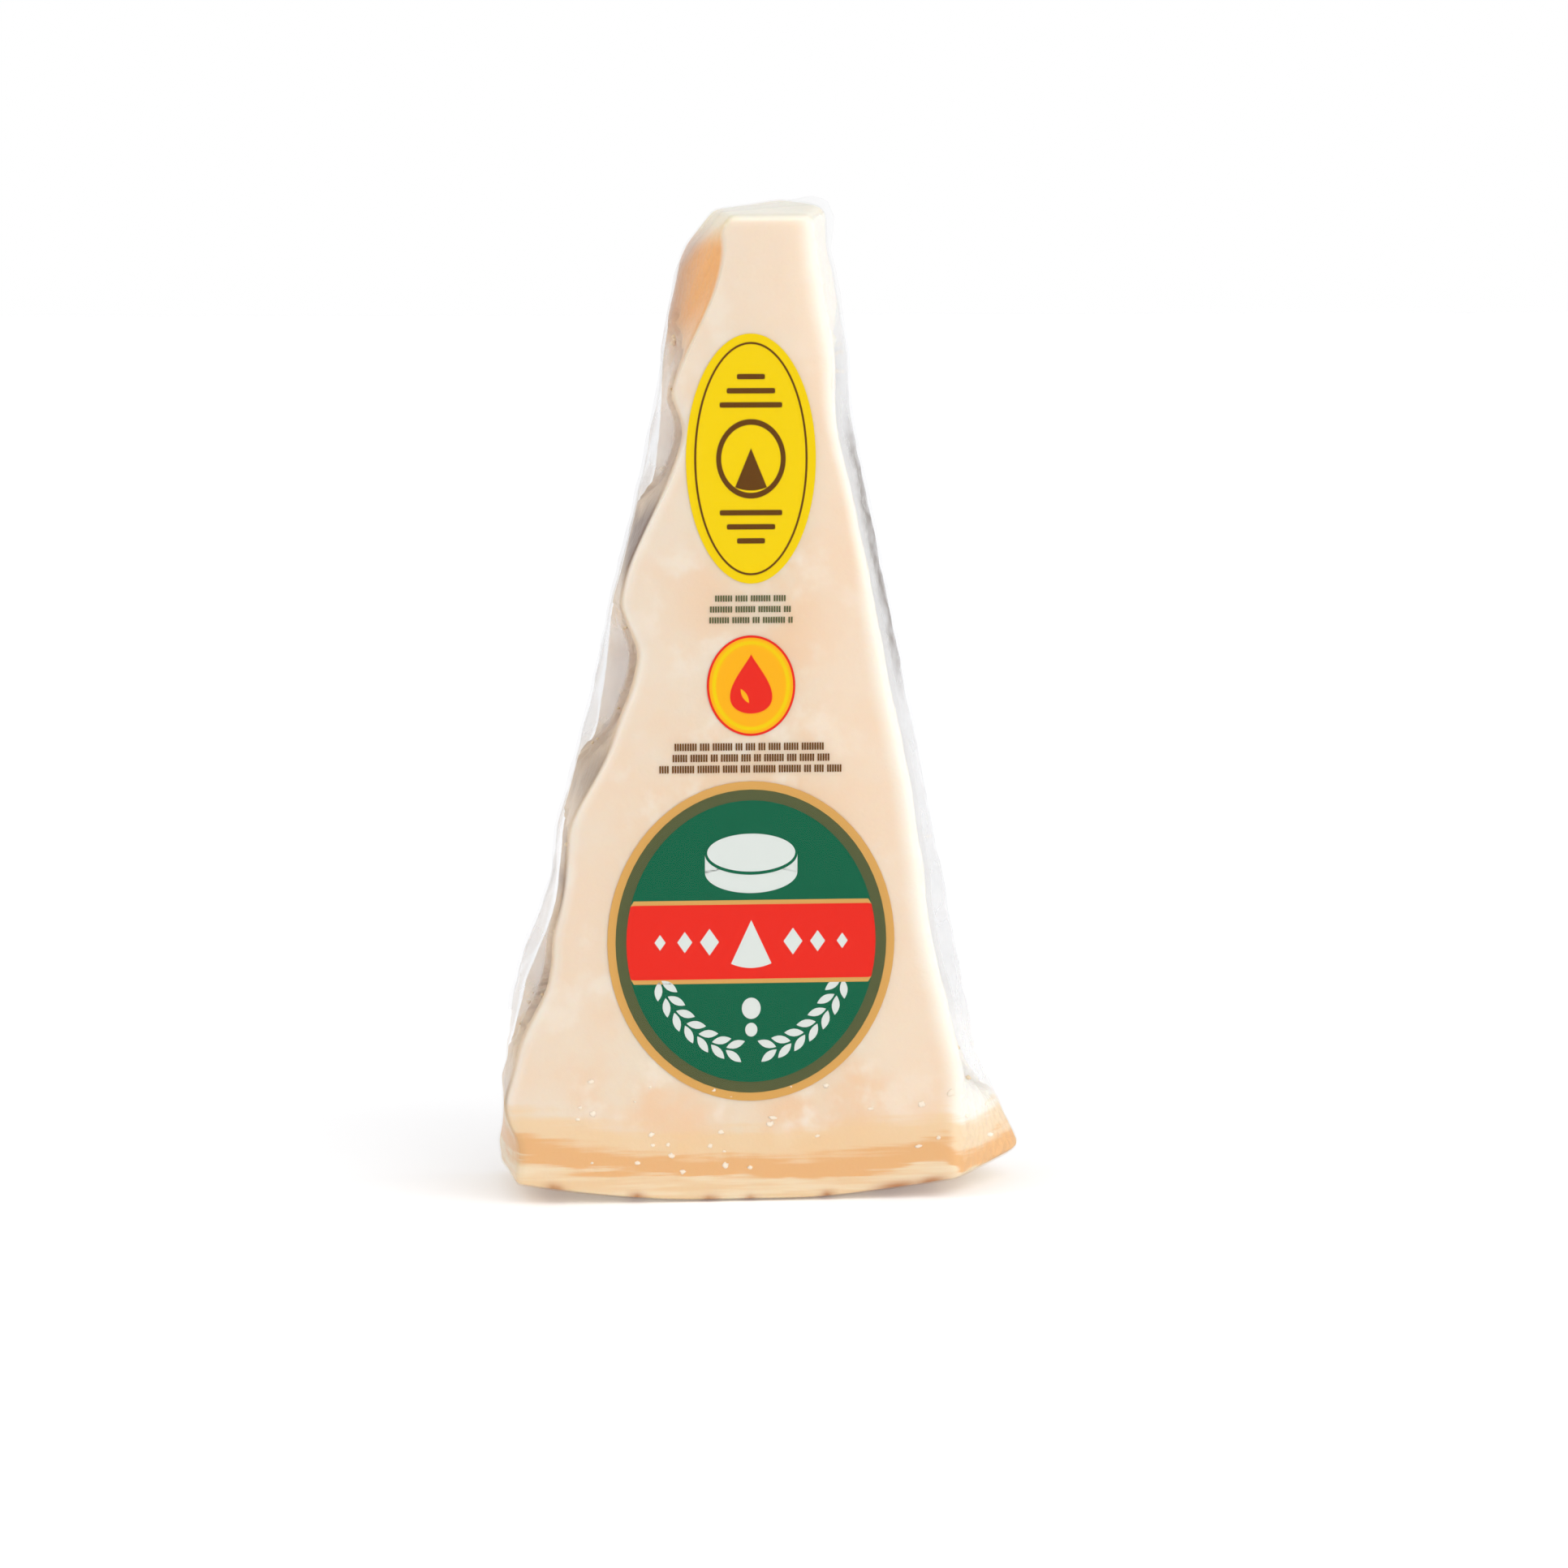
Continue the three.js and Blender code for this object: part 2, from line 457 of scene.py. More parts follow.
def split_sides(places, normals):
    """Moves the points of both sides from the film's taut form to the broken face of the cheese."""
    moved = places.copy()
    depth = places[:, 1] / HALF_THICKNESS
    inner = smoothstep(1 - np.abs(depth), 0.08, 0.4)
    for side in (LEFT, RIGHT):
        chosen = (np.sign(places[:, 0]) == side) & (np.abs(normals[:, 0]) > 0.25)
        points = places[chosen]
        z = points[:, 2]
        front = np.interp(z, *edge_line(side, FRONT_EDGE_Y))
        back = np.interp(z, *edge_line(side, BACK_EDGE_Y))
        straight = front + (back - front) * (depth[chosen] + 1) / 2
        shape = swelling(BULGES, side, z) - swelling(HOLLOWS, side, z)
        crags = split_relief(points, 11 + side)
        target = straight + inner[chosen] * shape - (0.06 + 0.94 * inner[chosen]) * crags
        film = np.abs(points[:, 0])
        target = np.minimum(film, np.where(inner[chosen] > 0, target, film))
        loose = 1 - 0.9 * smoothstep(z, *FILLED)
        follow = smoothstep(np.abs(normals[chosen, 0]), 0.25, 0.8) * loose
        moved[chosen, 0] = side * (film + (target - film) * follow)
    return moved


# Where the left split is painted a darker brown as painted shade, the lowest partly the rind's own
# brown: side, height, half reach and how much.
BROWN_SHADES = (
    (LEFT, 105 * MM, 6.5 * MM, 1.3),
    (LEFT, 68 * MM, 5 * MM, 0.6),
    (LEFT, 50 * MM, 5 * MM, 0.8),
    (LEFT, 10 * MM, 8 * MM, 0.8),
)


def brown_shade(places):
    """How strong the painted brown shade on the split is at each place, from 0 to 1: more ragged
    towards the back.
    """
    raggedness = smoothstep(places[:, 1] / HALF_THICKNESS, -0.9, 0.1)
    across_split = places * np.array([0, 1, 1])
    wander = 6 * MM * raggedness * noise_of(across_split, 8 * MM, 13)
    patchy = 1 - raggedness * (0.4 + 0.6 * noise_of(across_split, 3.5 * MM, 14))
    strength = swelling(BROWN_SHADES, LEFT, places[:, 2] + wander)
    return (places[:, 0] < 0) * np.clip(strength * patchy, 0, 1)


# Small brown marks on the rind's lower edge: where across, and how wide, in millimetres.
RIND_MARKS = ((-34.2, 1.3), (-21.2, 1.2), (-9.6, 1.2), (-3.2, 0.9), (9, 1), (20, 3.6), (25.5, 2.4))
MARK_UP, MARK_HIGH = 0.6, 0.8


def rind_marks(places):
    """How strong a mark of the rind is at each place, from 0 to 1."""
    strength = np.zeros(len(places))
    for across, width in RIND_MARKS:
        up = (places[:, 2] - rind_line(places[:, 0])) / MM - MARK_UP
        here = ((places[:, 0] / MM - across) / width) ** 2 + (up / MARK_HIGH) ** 2
        strength = np.maximum(strength, np.exp(-here))
    return strength


# The sawn face's pale right rim, a painted highlight, is narrower here: a height, and half its reach.
NARROW_RIM_Z, NARROW_RIM_REACH = 112 * MM, 16 * MM


def mark_sawn_faces(mesh, shape, normals):
    """Where the sawn faces' edges are, where surfaces face up for a painted highlight, and where that
    highlight is warmer on the chip. Distances are in millimetres.
    """
    x, _, z = shape.T
    narrow_rim = 1 + 0.8 * np.exp(-((z - NARROW_RIM_Z) / NARROW_RIM_REACH) ** 2)
    from_left = (x + np.interp(z, *edge_line(LEFT, FRONT_EDGE_Y))) / MM
    from_right = (np.interp(z, *edge_line(RIGHT, FRONT_EDGE_Y)) - x) / MM
    set_attribute(mesh, "from_left", from_left)
    set_attribute(mesh, "from_right", narrow_rim * from_right)
    set_attribute(mesh, "trimmed", smoothstep(normals[:, 2], 0.3, 0.7))
    set_attribute(mesh, "chipped", smoothstep(x, -4 * MM, -8 * MM))
    set_attribute(mesh, "below_tip", smoothstep(z, 132 * MM, 120 * MM))


def mark_split_sides(mesh, shape, normals):
    """Where the split sides are, and where on them each of their colours goes."""
    x, y, z = shape.T
    left = x < 0
    behind = smoothstep(y / HALF_THICKNESS, -0.7, 0.1)
    off_the_edges = smoothstep(1 - np.abs(y) / HALF_THICKNESS, 0.03, 0.1)
    split = smoothstep(np.abs(normals[:, 0]), 0.55, 0.8) * off_the_edges
    mid_height = smoothstep(z, 18 * MM, 30 * MM) * smoothstep(z, 142 * MM, 128 * MM)
    set_attribute(mesh, "split", split)
    set_attribute(mesh, "behind", behind)
    # Painted light on the right side, painted shade and a painted highlight at the tip, and painted
    # brown shade on the left are placed here.
    set_attribute(mesh, "lit_right_side", 1.0 - left)
    set_attribute(mesh, "grey", behind * mid_height)
    set_attribute(mesh, "tip", left * smoothstep(z, 130 * MM, 141 * MM))
    set_attribute(mesh, "tip_top_highlight", smoothstep(z, 149.5 * MM, 155 * MM))
    set_attribute(mesh, "brown_shade", brown_shade(shape))


def add_cheese():
    """The cheese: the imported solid's form, close under the film, with its split sides broken."""
    cheese = finer_solid("cheese")
    mesh = cheese.data
    normals = normals_of(mesh)
    under_film = swollen(places_of(mesh), normals) - CHEESE_DEPTH * normals
    shape = split_sides(under_film, normals)
    set_places(mesh, shape)
    mark_sawn_faces(mesh, shape, normals)
    mark_split_sides(mesh, shape, normals)
    set_attribute(mesh, "mark", rind_marks(shape))
    set_attribute(mesh, "above_rind", (shape[:, 2] - rind_line(shape[:, 0])) / MM)
    set_attribute(mesh, "gap", np.abs(under_film[:, 0] - shape[:, 0]) / MM)
    mesh.materials.append(cheese_material())
    return cheese


CHEESE_COLOURS = {
    "sawn": srgb(238, 222, 200),
    "sawn_warm": srgb(241, 208, 173),
    "sawn_fleck": srgb(245, 231, 213),
    # Painted light on the sawn face: its left part cooler, its right part warmer.
    "left_part_light": srgb(238, 224, 206),
    "right_part_light": srgb(246, 224, 200),
    # Painted highlights along the sawn face's left and right rims.
    "left_rim_highlight": srgb(250, 243, 233),
    "right_rim_highlight": srgb(254, 249, 238),
    # Painted highlight on surfaces facing up, warmer on the chip at the tip's left.
    "trimmed": srgb(255, 249, 232),
    "chipped": srgb(255, 240, 205),
    "broken": srgb(240, 220, 194),
    "broken_dark": srgb(230, 202, 168),
    # Painted shade in the split's hollows.
    "hollow": srgb(224, 200, 176),
    # Painted shade on the left split side.
    "brown": srgb(106, 66, 38),
    # Painted shade on the tip's left side: orange near the face, darker behind.
    "tip_front_shade": srgb(252, 186, 112),
    "tip_behind_shade": srgb(216, 168, 128),
    # Painted highlight on the top of the tip.
    "tip_top_highlight": srgb(255, 240, 206),
    # Painted light on the right split side, greyer behind.
    "lit_right_side": srgb(254, 249, 240),
    "right_grey": srgb(206, 203, 200),
    "ripe": srgb(241, 209, 162),
    "under_crust": srgb(235, 186, 128),
    "crust": srgb(243, 224, 192),
    "crust_dark": srgb(238, 208, 166),
    "mark": srgb(184, 118, 62),
}


def sawn_colour(nodes):
    """The sawn faces: mottled, with painted light: cooler on the left, warmer on the right, painted
    highlights along both edges, and paler where they face up.
    """
    colours = CHEESE_COLOURS
    mottled = nodes.spread(nodes.noise(55, 5), 0.38, 0.62)
    sawn = nodes.blend(mottled, colours["sawn"], colours["sawn_warm"])
    flecks = nodes.spread(nodes.noise(150, 3), 0.5, 0.72)
    sawn = nodes.blend(flecks, sawn, colours["sawn_fleck"])

    from_left = nodes.attribute("from_left")
    from_right = nodes.attribute("from_right")
    # Painted light: the left part cooler and the right part warmer, as the light falls.
    sawn = nodes.blend(nodes.spread(from_left, 22, 4, 0, 0.6), sawn, colours["left_part_light"])
    sawn = nodes.blend(nodes.spread(from_right, 20, 7, 0, 0.7), sawn, colours["right_part_light"])
    # Painted highlights: a pale rim along the left edge below the tip, and along the right edge.
    left_rim_highlight = nodes.spread(from_left, 2.6, 0.4, 0, 0.6)
    left_rim_highlight = nodes.times(left_rim_highlight, nodes.attribute("below_tip"))
    sawn = nodes.blend(left_rim_highlight, sawn, colours["left_rim_highlight"])
    sawn = nodes.blend(nodes.spread(from_right, 4.6, 0.9, 0, 0.9), sawn, colours["right_rim_highlight"])

    # Painted highlight: surfaces facing up are paler, warmer on the chip at the left.
    top = nodes.blend(nodes.attribute("chipped"), colours["trimmed"], colours["chipped"])
    return nodes.blend(nodes.attribute("trimmed"), sawn, top)


def broken_colour(nodes):
    """The split sides: painted shade makes them duller in hollows, brown in patches on the left and
    orange by the tip; painted light makes them near-white on the right, greyer behind at middle
    heights.
    """
    colours = CHEESE_COLOURS
    broken = nodes.blend(nodes.noise(300, 4), colours["broken"], colours["broken_dark"])
    # Painted shade: duller and darker where the split falls back from the film.
    hollow = nodes.spread(nodes.attribute("gap"), 0.8, 4)
    broken = nodes.blend(hollow, broken, colours["hollow"])
    # Painted shade: darker brown patches on the left split.
    brown = nodes.times(nodes.attribute("brown_shade"), 0.9)
    broken = nodes.blend(brown, broken, colours["brown"])

    # Painted shade: the tip's left side, turned from the light, is orange near the face and darker
    # behind.
    tip = nodes.blend(nodes.attribute("behind"), colours["tip_front_shade"], colours["tip_behind_shade"])
    broken = nodes.blend(nodes.attribute("tip"), broken, tip)
    # Painted highlight: the top of the tip is paler.
    broken = nodes.blend(nodes.attribute("tip_top_highlight"), broken, colours["tip_top_highlight"])

    # Painted light: the right split side is near-white, greyer towards the back at middle heights.
    right = nodes.blend(nodes.attribute("grey"), colours["lit_right_side"], colours["right_grey"])
    return nodes.blend(nodes.attribute("lit_right_side"), broken, right)


def with_rind(nodes, paste):
    """The paste's colour, riper and then crusted towards the rind, with ragged borders."""
    colours = CHEESE_COLOURS
    streaks = nodes.noise(800, 3, (0.07, 0.07, 1))
    wander = nodes.spread(nodes.noise(70, 3), 0.3, 0.7, -0.8, 0.8)
    # Along the right edge the rind's colours sit lower, so that the right rim's painted highlight
    # reaches further down.
    lower_at_right = nodes.spread(nodes.attribute("from_right"), 4, 0, 0, 3.3)
    height = nodes.add_up(nodes.attribute("above_rind"), wander)
    height = nodes.add_up(height, nodes.spread(streaks, 0.3, 0.7, -0.9, 0.9))
    height = nodes.add_up(height, lower_at_right)

    paste = nodes.blend(nodes.spread(height, 13.5, 10, 0, 0.75), paste, colours["ripe"])
    paste = nodes.blend(nodes.spread(height, 8.6, 6.8), paste, colours["under_crust"])
    streaked = nodes.spread(streaks, 0.35, 0.62)
    crust = nodes.blend(streaked, colours["crust"], colours["crust_dark"])
    paste = nodes.blend(nodes.spread(height, 4.6, 3.4), paste, crust)
    return nodes.blend(nodes.times(nodes.attribute("mark"), 0.9), paste, colours["mark"])


def cheese_material():
    material = new_material("cheese")
    nodes = Nodes(material)
    split = nodes.attribute("split")
    paste = nodes.blend(split, sawn_colour(nodes), broken_colour(nodes))
    inputs = nodes.shader.inputs
    nodes.put(with_rind(nodes, paste), inputs["Base Color"])
    inputs["Roughness"].default_value = 0.5
    inputs["Subsurface Weight"].default_value = 0.25
    inputs["Subsurface Radius"].default_value = (1, 0.55, 0.3)
    inputs["Subsurface Scale"].default_value = 2.5 * MM
    grain = nodes.bump(nodes.noise(1400, 2), 0.05 * MM)
    crumble = nodes.times(nodes.cells(700), split)
    nodes.put(nodes.bump(crumble, 0.35 * MM, grain), inputs["Normal"])
    return material


# ------------------------------------------------------------ crumbs and grains

CRUMBS = 150
CRUMB_RADIUS = (0.16 * MM, 0.5 * MM)
GRAINS = 34
GRAIN_RADIUS = (0.2 * MM, 0.62 * MM)
GRAIN_THICKNESS = 0.16 * MM
GRAINS_ACROSS = 35 * MM


class Lumps:
    """Many small uneven lumps joined into one mesh."""

    def __init__(self, seed):
        self.rng = random.Random(seed)
        self.verts = []
        self.faces = []
        edit = bmesh.new()
        bmesh.ops.create_icosphere(edit, subdivisions=2, radius=1)
        self.ball = [vert.co.copy() for vert in edit.verts]
        self.ball_faces = [[vert.index for vert in face.verts] for face in edit.faces]
        edit.free()

    def add(self, place, radii):
        first = len(self.verts)
        seed = Vector((self.rng.uniform(0, 99), self.rng.uniform(0, 99), 0))
        for corner in self.ball:
            size = 1 + 0.7 * noise.noise(corner * 1.4 + seed)
            bump = Vector(size * share * radius for share, radius in zip(corner, radii))
            self.verts.append(place + bump)
        self.faces += [[first + index for index in face] for face in self.ball_faces]

    def piece(self, name, material, slot):
        mesh = bpy.data.meshes.new(name)
        mesh.from_pydata(self.verts, [], self.faces)
        mesh.polygons.foreach_set("use_smooth", np.ones(len(mesh.polygons), bool))
        mesh.materials.append(material)
        obj = link_mesh(name, mesh)
        return obj


def gap_of(cheese):
    """How far the film stands off the cheese at each point of it, in millimetres."""
    gap = np.empty(len(cheese.data.vertices), np.float32)
    cheese.data.attributes["gap"].data.foreach_get("value", gap)
    return gap


def add_crumbs(cheese):
    """Loose crumbs lying against the cheese in the hollows of the split sides."""
    lumps = Lumps(7)
    mesh = cheese.data
    normals = normals_of(mesh)
    gap = gap_of(cheese)
    hollow = np.flatnonzero((gap > 1.2) & (np.abs(normals[:, 0]) > 0.6))
    for index in lumps.rng.sample(list(hollow), CRUMBS):
        size = lumps.rng.uniform(*CRUMB_RADIUS)
        place = mesh.vertices[int(index)].co + Vector(normals[index]) * 0.5 * size
        lumps.add(place, (size, size, 0.8 * size))
    material = crumb_material("crumbs", srgb(250, 226, 186))
    return lumps.piece("crumbs", material, "cheese")


def add_grains():
    """White grains caught under the film on the printed face, most of them near the rind."""
    lumps = Lumps(8)
    for _ in range(GRAINS):
        x = lumps.rng.uniform(-GRAINS_ACROSS, GRAINS_ACROSS)
        z = rind_line(x) + (5 + 14 * lumps.rng.random() ** 1.4) * MM
        size = lumps.rng.uniform(*GRAIN_RADIUS)
        y = -HALF_THICKNESS + swell(x, z) + CHEESE_DEPTH
        height = lumps.rng.uniform(0.5, 1) * size
        lumps.add(Vector((x, y, z)), (size, GRAIN_THICKNESS, height))
    material = crumb_material("white_grains", srgb(252, 240, 222))
    return lumps.piece("white_grains", material, "cheese")


def crumb_material(name, colour):
    material = new_material(name)
    shader = material.node_tree.nodes["Principled BSDF"]
    shader.inputs["Base Color"].default_value = colour
    shader.inputs["Roughness"].default_value = 0.6
    return material


# ------------------------------------------------------------ film

def film_material(name, least_haze, most_haze, bump_size):
    """Clear film: shiny at a slant, milky where slack, and with grey-brown painted shade along a
    crinkle.
    """
    material = new_material(name)
    nodes = Nodes(material)
    nodes.tree.nodes.remove(nodes.shader)
    wrinkles = nodes.bump(nodes.noise(240, 3, (1, 1, 0.4)), bump_size)
    clear = nodes.add("BsdfTransparent", None, {"Color": (0.965, 0.965, 0.965, 1)})
    mirror = {"Color": (1, 1, 1, 1), "Roughness": 0.14, "Normal": wrinkles}
    gloss = nodes.add("BsdfGlossy", None, mirror)
    milk = nodes.add("BsdfDiffuse", None, {"Color": srgb(234, 236, 240), "Normal": wrinkles})
    shade = nodes.add("BsdfDiffuse", None, {"Color": srgb(120, 110, 102), "Normal": wrinkles})
    haze = nodes.spread(nodes.attribute("slack"), 0, 1, least_haze, most_haze)
    body = nodes.mix_shaders(haze, clear, milk)
    shine = nodes.mix_shaders(0.42, clear, gloss)
    slant = nodes.add("Fresnel", None, {"IOR": 1.32, "Normal": wrinkles})
    film = nodes.mix_shaders(slant.outputs[0], body, shine)
    # Painted shade along the crinkle.
    film = nodes.mix_shaders(nodes.times(nodes.attribute("crease_shade"), 0.72), film, shade)
    nodes.put(film.outputs[0], nodes.tree.nodes["Material Output"].inputs["Surface"])
    return material


# The painted shade of a crinkled crease beside the cheese's right front edge: its middle and half
# sizes.
CREASE_Y, CREASE_Z = -6 * MM, 102 * MM
CREASE_WIDE, CREASE_HIGH = 5.6 * MM, 28 * MM


def crease_shading(places):
    """How strong the painted shade of that crinkle is at each place, from 0 to 1."""
    wander = 1.6 * MM * noise_of(places * np.array([0, 0, 1]), 4 * MM, 6)
    across = (places[:, 1] - CREASE_Y - wander) / CREASE_WIDE
    along = smoothstep(CREASE_HIGH - np.abs(places[:, 2] - CREASE_Z), 0, 18 * MM)
    patchy = 0.85 + 0.5 * noise_of(places * np.array([0, 0.3, 1]), 1.1 * MM, 8)
    return np.clip(np.exp(-across ** 2) * along * patchy * (places[:, 0] > 0), 0, 1)


def add_film(gap):
    """The film, milky where it stands off the cheese. At each point gap says how far, in mm."""
    film = finer_solid("shrink_film")
    mesh = film.data
    normals = normals_of(mesh)
    places = swollen(places_of(mesh), normals)
    from_weld = np.abs(places[:, 1] - WELD_Y)
    side = smoothstep(np.abs(normals[:, 0]), 0.5, 0.9)
    pucker = noise_of(places * np.array([1, 0.25, 1]), 2.2 * MM, 3)
    pucker = pucker * np.exp(-from_weld / (5 * MM))
    folds = noise_of(places * np.array([0.4, 0.4, 1]), 4.5 * MM, 5)
    places = places + normals * ((0.2 * pucker + 0.15 * folds) * MM * side)[:, None]
    set_places(mesh, places)
    above_rind = smoothstep(places[:, 2], 8 * MM, 16 * MM)
    # The film is clearer over the left split's painted brown shade.
    clinging = (1 - 0.8 * brown_shade(places)) * (1 - smoothstep(places[:, 2], *FILLED))
    milky = smoothstep(gap, 0.8, 3.4) * (0.75 + 0.25 * folds)
    set_attribute(mesh, "slack", milky * above_rind * clinging)
    set_attribute(mesh, "crease_shade", crease_shading(places) * side)
    mesh.materials.append(film_material("film", 0.004, 0.5, 0.035 * MM))
    return film


# ------------------------------------------------------------ the weld of the film

WELD_STEP = 0.7 * MM  # between two points along the weld
WELD_WIDTH = 0.5 * MM
WELD_ROOT = 0.25 * MM  # how far its root reaches under the film
WELD_ACROSS = 4  # how many faces it has across
EAR_PLACE, EAR_REACH, EAR_SIZE = Vector((9.5 * MM, 0, 155 * MM)), 4.5 * MM, 1.0 * MM


def weld_line():
    """Points where the film's halves meet, up one side and down the other, with the way out."""
    centre = Vector((0, WELD_Y, 60 * MM))
    lowest = math.radians(128)
    found = []
    for turn in np.linspace(-lowest, lowest, 1600):
        way = Vector((math.sin(turn), 0, math.cos(turn)))
        place, normal = FILM_TREE.ray_cast(centre, way)[:2]
        if place and (not found or (place - found[-1][0]).length > WELD_STEP):
            found.append((place, Vector((normal.x, 0, normal.z)).normalized()))
    return found


def weld_section(index, place, way):
    """The fin's points across, from its root out, at one point along the weld."""
    along = Vector((index * 0.13, 0, 0))
    ear = math.exp(-((place - EAR_PLACE).length / EAR_REACH) ** 2)
    width = WELD_WIDTH * (1 + 0.4 * noise.noise(along * 1.7)) + EAR_SIZE * ear
    wave_size = (0.22 + 0.5 * ear) * MM
    section = []
    for step in range(WELD_ACROSS + 1):
        share = step / WELD_ACROSS
        out = -WELD_ROOT + share * (width + WELD_ROOT)
        wave = share * wave_size * noise.noise(along * 2.3 + Vector((0, 0.2 * share, 0)))
        section.append(place + way * out + Vector((0, wave, 0)))
    return section


def add_weld():
    """The narrow fin along the weld, uneven and slightly wavy, with an ear beside the tip."""
    verts, faces = [], []
    line = weld_line()
    for index, (place, way) in enumerate(line):
        verts += weld_section(index, place, way)
    around = WELD_ACROSS + 1
    for index in range(len(line) - 1):
        for step in range(WELD_ACROSS):
            first = index * around + step
            faces.append((first, first + 1, first + around + 1, first + around))
    mesh = bpy.data.meshes.new("film_weld")
    mesh.from_pydata(verts, [], faces)
    mesh.polygons.foreach_set("use_smooth", np.ones(len(mesh.polygons), bool))
    set_attribute(mesh, "slack", np.ones(len(verts)))
    set_attribute(mesh, "crease_shade", np.zeros(len(verts)))
    mesh.materials.append(film_material("welded_film", 0.1, 0.18, 0.03 * MM))
    weld = link_mesh("film_weld", mesh)
    return weld


# ------------------------------------------------------------ print on the film

PRINT_X = -3.15 * MM  # what all of the print is centred on
SHRUNK = 0.88  # the film drew in crosswise, so that round prints are oval

INKS = {
    "yellow": srgb(246, 214, 0),
    "orange": srgb(252, 186, 22),
    "red": srgb(236, 44, 30),
    "brown": srgb(106, 66, 14),
    "olive": srgb(92, 98, 62),
    "gold": srgb(222, 172, 96),
    "green": srgb(14, 104, 72),
    "white": srgb(226, 232, 228),
}


def ellipse(width, height, steps=72):
    turns = [2 * math.pi * step / steps for step in range(steps)]
    return [(width / 2 * math.cos(turn), height / 2 * math.sin(turn)) for turn in turns]


def cut_level(outline, half_height):
    """The outline cut off level above and below."""
    return [(x, max(-half_height, min(half_height, z))) for x, z in outline]


def bar(width, height, corner=0.3):
    """A rectangle with rounded corners; the corner is a share of the height."""
    radius = corner * height
    points = []
    for quarter, (side, end) in enumerate(((1, 1), (-1, 1), (-1, -1), (1, -1))):
        for step in range(4):
            turn = math.pi / 2 * (quarter + step / 3)
            x = side * (width / 2 - radius) + radius * math.cos(turn)
            z = end * (height / 2 - radius) + radius * math.sin(turn)
            points.append((x, z))
    return points


def rectangle(width, height):
    corners = ((1, 1), (-1, 1), (-1, -1), (1, -1))
    return [(across * width / 2, up * height / 2) for across, up in corners]


def drop(width, height, steps=40):
    """A drop with its point up."""
    turns = [2 * math.pi * step / steps for step in range(steps)]
    return [
        (-0.68 * width * math.sin(turn) * math.sin(turn / 2) ** 1.5, height / 2 * math.cos(turn))
        for turn in turns
    ]


def leaf(length, width, turn, steps=8):
    """A pointed leaf or grain lying at that turn from level."""
    points = []
    for step in range(2 * steps):
        share = math.cos(math.pi * step / steps)
        half_width = width / 2 * (1 - share * share)
        points.append((length / 2 * share, half_width if step < steps else -half_width))
    cosine, sine = math.cos(turn), math.sin(turn)
    return [(x * cosine - z * sine, x * sine + z * cosine) for x, z in points]


def wedge_sign(width, height):
    """A slice of a wheel seen from above: two straight sides and a round rind below."""
    steps = 14
    spread = math.asin(0.5 * width / height)
    middle = 0.55 * height
    rind = [-spread + 2 * spread * step / steps for step in range(steps + 1)]
    return [(0, height - middle)] + [
        (height * math.sin(turn), height - middle - height * math.cos(turn)) for turn in rind
    ]


class Print:
    """The patches of ink on the film, gathered by colour into thin plates."""

    RINGS = (1, 0.75, 0.5, 0.25)  # the sizes of a plate's rings of points, round its middle

    def __init__(self):
        self.verts = {ink: [] for ink in INKS}
        self.faces = {ink: [] for ink in INKS}

    def add_plate(self, ink, x, z, outline, depth):
        """Adds the points of one side of a patch. Gives the first one's number, and the faces."""
        verts = self.verts[ink]
        first = len(verts)
        places = [
            (x + ring * across, z + ring * up) for ring in self.RINGS for across, up in outline
        ]
        for here_x, here_z in places + [(x, z)]:
            verts.append((here_x, -HALF_THICKNESS + swell(here_x, here_z) + depth, here_z))
        count = len(outline)
        faces = []
        for outer in range(first, first + (len(self.RINGS) - 1) * count, count):
            inner = outer + count
            for step in range(count):
                after = (step + 1) % count
                faces.append((outer + step, outer + after, inner + after, inner + step))
        middle = len(verts) - 1
        innermost = middle - count
        for step in range(count):
            faces.append((innermost + step, innermost + (step + 1) % count, middle))
        return first, faces

    def patch(self, ink, x, z, outline, layer):
        """Adds a patch round (x, z), outline counter-clockwise. A higher layer is nearer the film."""
        depth = INK_DEPTH - layer * INK_LAYER
        front, front_faces = self.add_plate(ink, x, z, outline, depth)
        back, back_faces = self.add_plate(ink, x, z, outline, depth + INK_THICKNESS)
        faces = self.faces[ink]
        faces += front_faces
        faces += [face[::-1] for face in back_faces]
        count = len(outline)
        for step in range(count):
            after = (step + 1) % count
            faces.append((front + after, front + step, back + step, back + after))

    def row(self, ink, z, width, height, rng):
        """A row of short upright strokes in groups of different lengths."""
        stroke, step = 0.25 * MM, 0.4 * MM
        left_in_group = 0
        for index in range(int(width / step)):
            if left_in_group == 0:
                left_in_group = rng.randint(3, 9)
                continue
            left_in_group -= 1
            x = PRINT_X - width / 2 + index * step
            self.patch(ink, x, z, rectangle(stroke, height), 0)

    def pieces(self):
        found = []
        for ink, colour in INKS.items():
            mesh = bpy.data.meshes.new("print_" + ink)
            mesh.from_pydata(self.verts[ink], [], self.faces[ink])
            mesh.polygons.foreach_set("use_smooth", np.zeros(len(mesh.polygons), bool))
            mesh.materials.append(ink_material(ink, colour))
            obj = link_mesh("print_" + ink, mesh)
            found.append(obj)
        return found


def ink_material(name, colour):
    material = new_material("ink_" + name)
    shader = material.node_tree.nodes["Principled BSDF"]
    shader.inputs["Base Color"].default_value = colour
    shader.inputs["Roughness"].default_value = 0.6
    shader.inputs["Specular IOR Level"].default_value = 0
    return material


